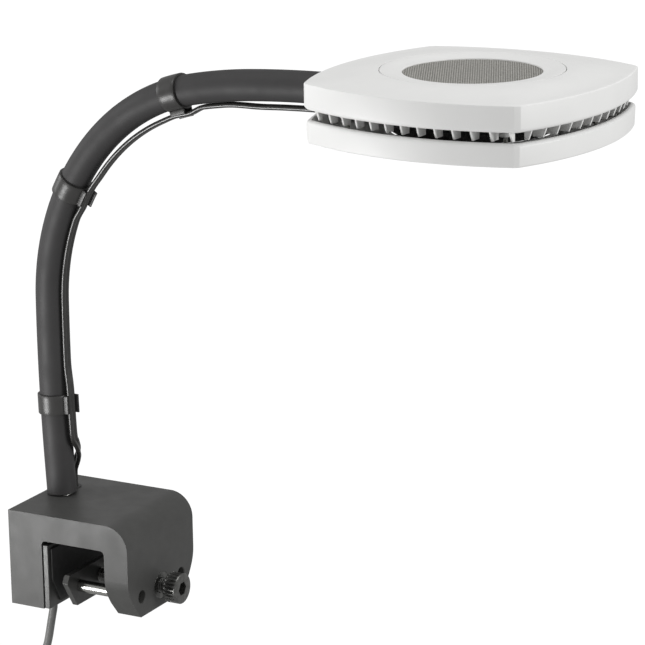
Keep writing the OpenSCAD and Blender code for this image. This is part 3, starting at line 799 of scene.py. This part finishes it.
def make_knob(looks):
    """Knurled knob with a hexagon socket, and its edges broken."""
    low, high = box("screw_knob")
    radius = (high.z - low.z) / 2
    flutes, steps = 24, 10
    long = high.x - low.x
    rings = []
    for h, r, deep in [(0, radius - 1.0, 0), (0.7, radius - 0.1, 0), (1.0, radius, 0.15),
                       (1.6, radius, 1), (long - 2.4, radius, 1), (long - 1.8, radius, 0.15),
                       (long - 1.5, radius, 0), (long - 0.5, radius, 0),
                       (long - 0.12, radius - 0.2, 0), (long, radius - 0.6, 0)]:
        points = []
        for t in angles(flutes * steps):
            dip = 0.95 * deep * max(0, math.cos(flutes * t) + 0.35) / 1.35
            points.append((low.x + h, (r - dip) * math.cos(t), (r - dip) * math.sin(t)))
        rings.append(points)
    knob = new_piece("knob", *loft(rings))
    hexagon = [ring(HEX_KEY / 2 / math.cos(math.pi / 6) + grow, 6, (high.x - 5.5 + h, 0, 0),
                    (0, 1, 0), (0, 0, 1))
               for h, grow in [(0, 0), (5.2, 0), (5.5, 0.3), (6.5, 0.3)]]
    cut(knob, new_piece("cutter", *loft(hexagon)))
    place(knob, "screw", looks["black_oxide"], "black_oxide", "screw_knob", angle=35)


def make_screw(looks):
    """The clamp screw with its thread cut as a real helix."""
    low, high = box("clamp_screw")
    radius, journal = (high.z - low.z) / 2, 2.95
    pitch, deep, around, per_turn = 1.5, 0.85, 40, 8
    start, end = low.x + 3.8, high.x
    rings = [[(x, journal * math.cos(t), journal * math.sin(t)) for t in angles(around)]
             for x in (low.x, start - 0.6)]
    count = int((end - start) / pitch * per_turn)
    for i in range(count + 1):
        x = start + (end - start) * i / count
        fade = min(1, (x - start) / 1.2)
        points = []
        for t in angles(around):
            phase = (x / pitch - t / (2 * math.pi)) % 1
            ridge = min(1, max(0, 1.6 * (1 - abs(2 * phase - 1)) - 0.2))
            r = radius - deep * (1 - ridge * fade)
            points.append((x, r * math.cos(t), r * math.sin(t)))
        rings.append(points)
    screw = new_piece("threaded_screw", *loft(rings))
    place(screw, "screw", looks["black_oxide"], "black_oxide", "clamp_screw", angle=60)


# ---------------------------------------------------------------- head

class Head:
    """The head's own frame: origin in the middle, level with its top edge, x away from the arm."""

    side, bulge, cut_r = 140, 15, 98.3
    slot_top, slot_low, base = -15.5, -21.5, -35

    def __init__(self, arm):
        centre = joint_at("fan_spin")
        self.origin = Vector((centre.x, centre.y, centre.z + FAN_DROP))
        self.x = arm.out
        self.y = Vector((0, 0, 1)).cross(arm.out)
        self.side_r = (self.side ** 2 / 4 + self.bulge ** 2) / (2 * self.bulge)
        self.side_c = self.side_r - self.side / 2 - self.bulge

    def put(self, p):
        return self.origin + p[0] * self.x + p[1] * self.y + Vector((0, 0, p[2]))

    def outline(self, inset, per_side=44, per_corner=5):
        """Bulged sides and cut corners, counter-clockwise, always as many points."""
        side_r, cut_r = self.side_r - inset, self.cut_r - inset
        x = (side_r ** 2 - cut_r ** 2 - self.side_c ** 2) / (2 * self.side_c)
        y = math.sqrt(cut_r ** 2 - x * x)
        half = math.asin(y / side_r)
        points = []
        for q in range(4):
            turn = math.radians(90 * q)
            one = [(side_r * math.cos(half * (2 * k / per_side - 1)) - self.side_c,
                    side_r * math.sin(half * (2 * k / per_side - 1))) for k in range(per_side + 1)]
            corner = math.atan2(y, x)
            sweep = math.pi / 2 - 2 * corner
            one += [(cut_r * math.cos(corner + sweep * k / per_corner),
                     cut_r * math.sin(corner + sweep * k / per_corner))
                    for k in range(1, per_corner)]
            points += [(px * math.cos(turn) - py * math.sin(turn),
                        px * math.sin(turn) + py * math.cos(turn)) for px, py in one]
        return points

    def level(self, z, inset=0, radius=None, share=0.0):
        """One ring of the skin: the outline set in, a circle, or a share of the way between."""
        points = []
        for px, py in self.outline(inset):
            scale = 1 if radius is None else share + (1 - share) * radius / math.hypot(px, py)
            points.append(self.put((scale * px, scale * py, z)))
        return points

    def hole(self, x, y, z0, z1, radius, rim=0.0, count=32):
        """A round cutter from z0 to z1, its chamfered end at z1."""
        up = 1 if z1 > z0 else -1
        return rod("hole", self.put((x, y, z0)), (0, 0, up), abs(z1 - z0), radius, count, rim)


def quarter(inset, z, width, height, count):
    """Levels of a rounded edge, from a vertical wall at inset to a flat at z."""
    return [dict(z=z + height * (1 - math.sin(t)), inset=inset + width * (1 - math.cos(t)))
            for t in (math.pi / 2 * k / count for k in range(count + 1))]


SEAM_R = 53.9
CROWN = 3.3                       # rise of the top face from its edge to the ring
RING_R = 53.55
MESH_R = 40.5
COLLAR_AT = -84


SHELL_WALL = 2.2
POST_AT = 52                      # the shell screws' posts, along and across from the middle


def skin(name, head, levels):
    """A closed shell through the levels, which run round its wall."""
    return new_piece(name, *loft([head.level(**level) for level in levels], looped=True))


def make_upper_shell(head, looks):
    """The cover over the fan: a crowned top, a rounded rim and posts for the screws."""
    wall = SHELL_WALL
    levels = [dict(z=CROWN - 2, radius=SEAM_R), dict(z=CROWN - 0.3, radius=SEAM_R),
              dict(z=CROWN, radius=SEAM_R + 0.3)]
    for k in range(1, 12):
        t = k / 12
        levels.append(dict(z=CROWN * (0.5 + 0.5 * math.cos(math.pi * t)), radius=SEAM_R + 0.3,
                           inset=1.2, share=t))
    levels += reversed(quarter(0, 0, 0.9, -0.9, 5))
    levels += quarter(0, head.slot_top, 2.9, 2.6, 7)
    levels += [dict(z=head.slot_top, inset=4.2), dict(z=head.slot_top + 0.3, inset=4.4),
               dict(z=-wall, inset=4.4), dict(z=-wall, radius=SEAM_R + 1.2),
               dict(z=-wall - 0.6, radius=SEAM_R + 0.6), dict(z=-wall - 0.6, radius=SEAM_R)]
    shell = skin("upper_cover", head, levels)
    cut(shell, collar_cutter(head))
    posts = [turned("post", [(1.3, head.slot_low), (4, head.slot_low), (4, -wall), (1.3, -wall)],
                    head.put((x, y, 0)), (0, 0, 1), 24)
             for x in (-POST_AT, POST_AT) for y in (-POST_AT, POST_AT)]
    join(shell, *posts)
    place(shell, "head", looks["shell_white"], "shell_white", "upper_shell", angle=20)


def make_lower_shell(head, looks):
    """The tray under the slot, open for the filter cover, with its screw and button holes."""
    wall, cover_r = SHELL_WALL, 49.1
    top, base = head.slot_low, head.base
    levels = [*reversed(quarter(1.1, top, 2.0, -2.4, 7)), *quarter(1.5, base, 1.2, 1.2, 5)]
    levels += [dict(z=base, radius=cover_r + 0.4), dict(z=base + 0.4, radius=cover_r),
               dict(z=base + 2, radius=cover_r), dict(z=base + 2, inset=wall + 2.2),
               dict(z=top - 1.0, inset=wall + 1.9), dict(z=top, inset=wall + 1.6)]
    shell = skin("lower_cover", head, levels)
    tools = [collar_cutter(head)]
    for x in (-POST_AT, POST_AT):
        for y in (-POST_AT, POST_AT):
            tools.append(head.hole(x, y, top, base - 1, 1.7))
            tools.append(head.hole(x, y, base + 1.9, base - 1, 3.1, 0.3))
    for y in (-9.5, 9.5):
        tools.append(head.hole(COLLAR_AT + 13, y, top, base - 1, 1.7, 0.5))
    tools.append(head.hole(64, -10, top, base - 1, 4.15, 0.5))
    cut(shell, *tools)
    place(shell, "head", looks["shell_white"], "shell_white", "lower_shell", angle=20)


def collar_cutter(head):
    """Room for the arm's collar in the side of the head."""
    low = box("arm_collar")[0]
    section = arc(0, -Arm.end_drop, 12.7, -60, 240, 40)
    section += [(-5.1, low.z - head.origin.z - 0.1), (5.1, low.z - head.origin.z - 0.1)]
    rings = [[head.put((x, y, z)) for y, z in section] for x in (COLLAR_AT - 6, COLLAR_AT + 6)]
    return new_piece("cutter", *loft(rings))


def make_exhaust_ring(head, looks):
    """Cover ring: a crisp seam, a shallow dish, and a rounded rim round the mesh."""
    profile = [(RING_R, -2.6), (RING_R, -0.3), (RING_R - 0.3, 0), (RING_R - 1.2, -0.02)]
    dish_out, dish_in = RING_R - 1.2, MESH_R + 0.9
    for k in range(1, 13):
        t = k / 12
        profile.append((dish_out - (dish_out - dish_in) * t,
                        -0.02 - 1.15 * (0.5 - 0.5 * math.cos(math.pi * t))))
    profile += [(MESH_R + 0.5, -1.2), (MESH_R + 0.15, -1.35), (MESH_R, -1.6), (MESH_R, -2.6),
                (MESH_R + 1.5, -2.6), (MESH_R + 1.5, -7.7), (56.2, -7.7), (56.2, -6.2),
                (RING_R, -6.2)]
    profile = [(r, z + CROWN) for r, z in profile]
    piece = turned("cover_ring", profile, head.origin, (0, 0, 1), 160)
    place(piece, "head", looks["shell_white"], "shell_white", "exhaust_ring", angle=32)


def make_mesh(head, looks):
    """Perforated steel disc: hexagonal holes in rows."""
    pitch, hole_r, top, thick = 1.55, 0.62, CROWN - 1.95, 0.5
    reach = MESH_R + 0.2
    points, faces = [], []
    keys = {}

    def vertex(x, y, z):
        key = (round(x, 3), round(y, 3), round(z, 3))
        if key not in keys:
            keys[key] = len(points)
            points.append(head.put((x, y, z)))
        return keys[key]

    cell_r, row_step = pitch / math.sqrt(3), pitch * math.sqrt(3) / 2
    rows = int(reach / row_step) + 1
    columns = int(reach / pitch) + 1
    for j in range(-rows, rows + 1):
        for i in range(-columns, columns + 1):
            cx = pitch * (i + (0.5 if j % 2 else 0))
            cy = row_step * j
            if math.hypot(cx, cy) > reach:
                continue
            for k in range(6):
                a, b = (math.radians(60 * m + 30) for m in (k, k + 1))
                big = [(cx + cell_r * math.cos(t), cy + cell_r * math.sin(t)) for t in (a, b)]
                small = [(cx + hole_r * math.cos(t), cy + hole_r * math.sin(t)) for t in (a, b)]
                upper = [vertex(*p, top) for p in (*big, small[1], small[0])]
                wall = [vertex(*small[0], top), vertex(*small[1], top),
                        vertex(*small[1], top - thick), vertex(*small[0], top - thick)]
                lower = [vertex(*p, top - thick) for p in (big[1], big[0], small[0], small[1])]
                faces += [upper, wall, lower]
    piece = new_piece("outlet_mesh", points, faces)
    place(piece, "head", looks["mesh_grey"], "mesh_grey", "exhaust_mesh", angle=20)


VANE_PITCH = 10.4


def make_vanes(head, looks):
    """Thin vanes that hang in the slot; each outer edge leans in on its way down."""
    pieces = []
    for q in range(4):
        for twice in range(-12, 13):
            k = twice / 2
            if (q % 2 == 0) != (twice % 2 != 0) or (q == 2 and abs(k) < 2):
                continue
            y = VANE_PITCH * k + (2 if q == 3 else 0)
            pieces.append(one_vane(head, q, y))
    vanes = join(*pieces)
    inner = [dict(z=head.slot_top + 1.5, inset=4.6), dict(z=head.slot_top + 0.1, inset=4.6),
             dict(z=head.slot_top + 0.1, inset=11.5), dict(z=head.slot_top + 1.5, inset=11.5)]
    carrier = skin("ring", head, inner)
    cut(carrier, collar_gap(head))
    join(vanes, carrier)
    vanes.name = "swirl_vanes"
    place(vanes, "head", looks["shell_white"], "shell_white", "vane_ring", angle=40)


def collar_gap(head):
    """The gap that the vanes' ring leaves for the arm."""
    section = [(-16, -12), (16, -12), (16, -18), (-16, -18)]
    rings = [[head.put((x, y, z)) for y, z in section] for x in (COLLAR_AT - 6, COLLAR_AT + 20)]
    return new_piece("cutter", *loft(rings))


def one_vane(head, q, y):
    """A vane on side q of the head, y along that side."""
    turn = math.radians(90 * q)
    edge_x = math.sqrt(head.side_r ** 2 - y * y) - head.side_c
    reach = 8 if abs(y) > 5.3 * VANE_PITCH else 12
    thick = 0.6
    rings = []
    for z, lean in [(head.slot_top + 0.3, 0), (head.slot_top - 2, 0.8), (head.slot_low + 0.4, 2.3)]:
        out = edge_x - 3.1 - lean
        section = [(edge_x - reach, y - thick), (out - 0.3, y - thick), (out, y - thick + 0.35),
                   (out, y + thick - 0.35), (out - 0.3, y + thick), (edge_x - reach, y + thick)]
        rings.append([head.put((px * math.cos(turn) - py * math.sin(turn),
                                px * math.sin(turn) + py * math.cos(turn), z))
                      for px, py in section])
    return new_piece("vane", *loft(rings))


# ---------------------------------------------------------------- CAD nodes that stay

def dress(node, look, looks, edge):
    """Gives a CAD node its material and breaks its edges, without touching its own mesh."""
    obj = frame["nodes"][node]
    mesh = obj.data
    mesh.materials.clear()
    mesh.materials.append(looks[look])
    if "custom_normal" in mesh.attributes:
        mesh.attributes.remove(mesh.attributes["custom_normal"])
    mesh.polygons.foreach_set("use_smooth", [True] * len(mesh.polygons))
    weld = obj.modifiers.new("weld", "WELD")
    weld.merge_threshold = 1e-6
    flat = obj.modifiers.new("flat", "DECIMATE")
    flat.decimate_type = "DISSOLVE"
    flat.angle_limit = math.radians(1)
    soft = obj.modifiers.new("edge", "BEVEL")
    soft.width = edge * MM
    soft.segments = 2
    soft.limit_method = "ANGLE"
    soft.angle_limit = math.radians(35)
    soft.harden_normals = True


def dress_all(looks):
    """Dresses every node that no piece replaces, each with the width of its broken edges."""
    slots = {part["node"]: part["material_slot"] for part in frame["record"]["subparts"]}
    broken = {"moving_jaw": 1.4, "arm_collar": 0.6, "fixed_jaw_plate": 0.5, "guide_pins": 0.5,
              "carbon_filter": 0.5, "fixed_jaw_pad": 0.4, "moving_jaw_pad": 0.4,
              "thread_insert": 0.4, "arm_ferrule": 0.4, "arm_bracket": 0.4, "board_cover": 0.4,
              "power_button": 0.4, "fan_frame": 0.4, "filter_cover": 0.3, "plug_barrel": 0.3}
    for node, obj in frame["nodes"].items():
        if not obj.hide_render:
            dress(node, slots[node], looks, broken.get(node, 0.15))


# ---------------------------------------------------------------- stage

def area_light(name, at, size, power, target=(0.12, 0, 0.15)):
    data = bpy.data.lights.new(name, "AREA")
    data.shape = "DISK"
    data.size = size
    data.energy = power
    light = bpy.data.objects.new(name, data)
    light.location = at
    light.rotation_euler = (Vector(target) - Vector(at)).to_track_quat("-Z", "Y").to_euler()
    light.visible_camera = False
    bpy.context.scene.collection.objects.link(light)


def backdrop(mesh, white):
    """Hands a mesh to the stage as something that only the camera sees."""
    mesh.materials.append(white)
    piece = bpy.data.objects.new(mesh.name, mesh)
    bpy.context.scene.collection.objects.link(piece)
    for way in ("diffuse", "glossy", "transmission", "volume_scatter", "shadow"):
        setattr(piece, f"visible_{way}", False)


SURROUND_R = 20
FLOOR_HALF = 15                   # half the floor's width
FLOOR_Z = -0.24                   # below the hanging plug


def make_stage():
    """A white floor and surround that only the camera sees, a soft dome and the studio lights."""
    white = bpy.data.materials.new("surround_white")
    white.use_nodes = True
    shader = white.node_tree.nodes["Principled BSDF"]
    shader.inputs["Base Color"].default_value = (0, 0, 0, 1)
    shader.inputs["Specular IOR Level"].default_value = 0
    shader.inputs["Emission Color"].default_value = (1, 1, 1, 1)
    shader.inputs["Emission Strength"].default_value = 1.05
    work = bmesh.new()
    bmesh.ops.create_uvsphere(work, u_segments=32, v_segments=16, radius=SURROUND_R)
    surround = bpy.data.meshes.new("surround")
    work.to_mesh(surround)
    work.free()
    backdrop(surround, white)
    floor = bpy.data.meshes.new("floor")
    floor.from_pydata([(x * FLOOR_HALF, y * FLOOR_HALF, FLOOR_Z)
                       for x, y in ((-1, -1), (1, -1), (1, 1), (-1, 1))], [], [(0, 1, 2, 3)])
    backdrop(floor, white)
    world = bpy.data.worlds.new("studio")
    world.use_nodes = True
    world.node_tree.nodes["Background"].inputs["Color"].default_value = (1, 1, 1, 1)
    world.node_tree.nodes["Background"].inputs["Strength"].default_value = 0.475
    bpy.context.scene.world = world
    area_light("top", (0.1, 0, 2.0), 1.2, 11.1)
    area_light("left", (-1.9, -0.3, 0.6), 0.9, 8.4)
    area_light("low_left", (-0.35, -0.6, -0.05), 0.35, 4.7)
    area_light("right", (2.0, 0.1, 0.6), 0.8, 14.7)
    area_light("edge", (-0.9, -0.5, 1.8), 0.35, 3.0)
    bpy.context.scene.view_settings.view_transform = "Standard"
    bpy.context.scene.view_settings.look = "None"


# ---------------------------------------------------------------- all together

make_camera()
materials = make_materials()
make_cord(materials)
gooseneck = Arm()
make_sleeve_and_core(gooseneck, materials)
make_cable(gooseneck, materials)
make_clips(gooseneck, materials)
make_clamp(materials)
make_knob(materials)
make_screw(materials)
fume_head = Head(gooseneck)
make_upper_shell(fume_head, materials)
make_lower_shell(fume_head, materials)
make_exhaust_ring(fume_head, materials)
make_mesh(fume_head, materials)
make_vanes(fume_head, materials)
dress_all(materials)
make_stage()
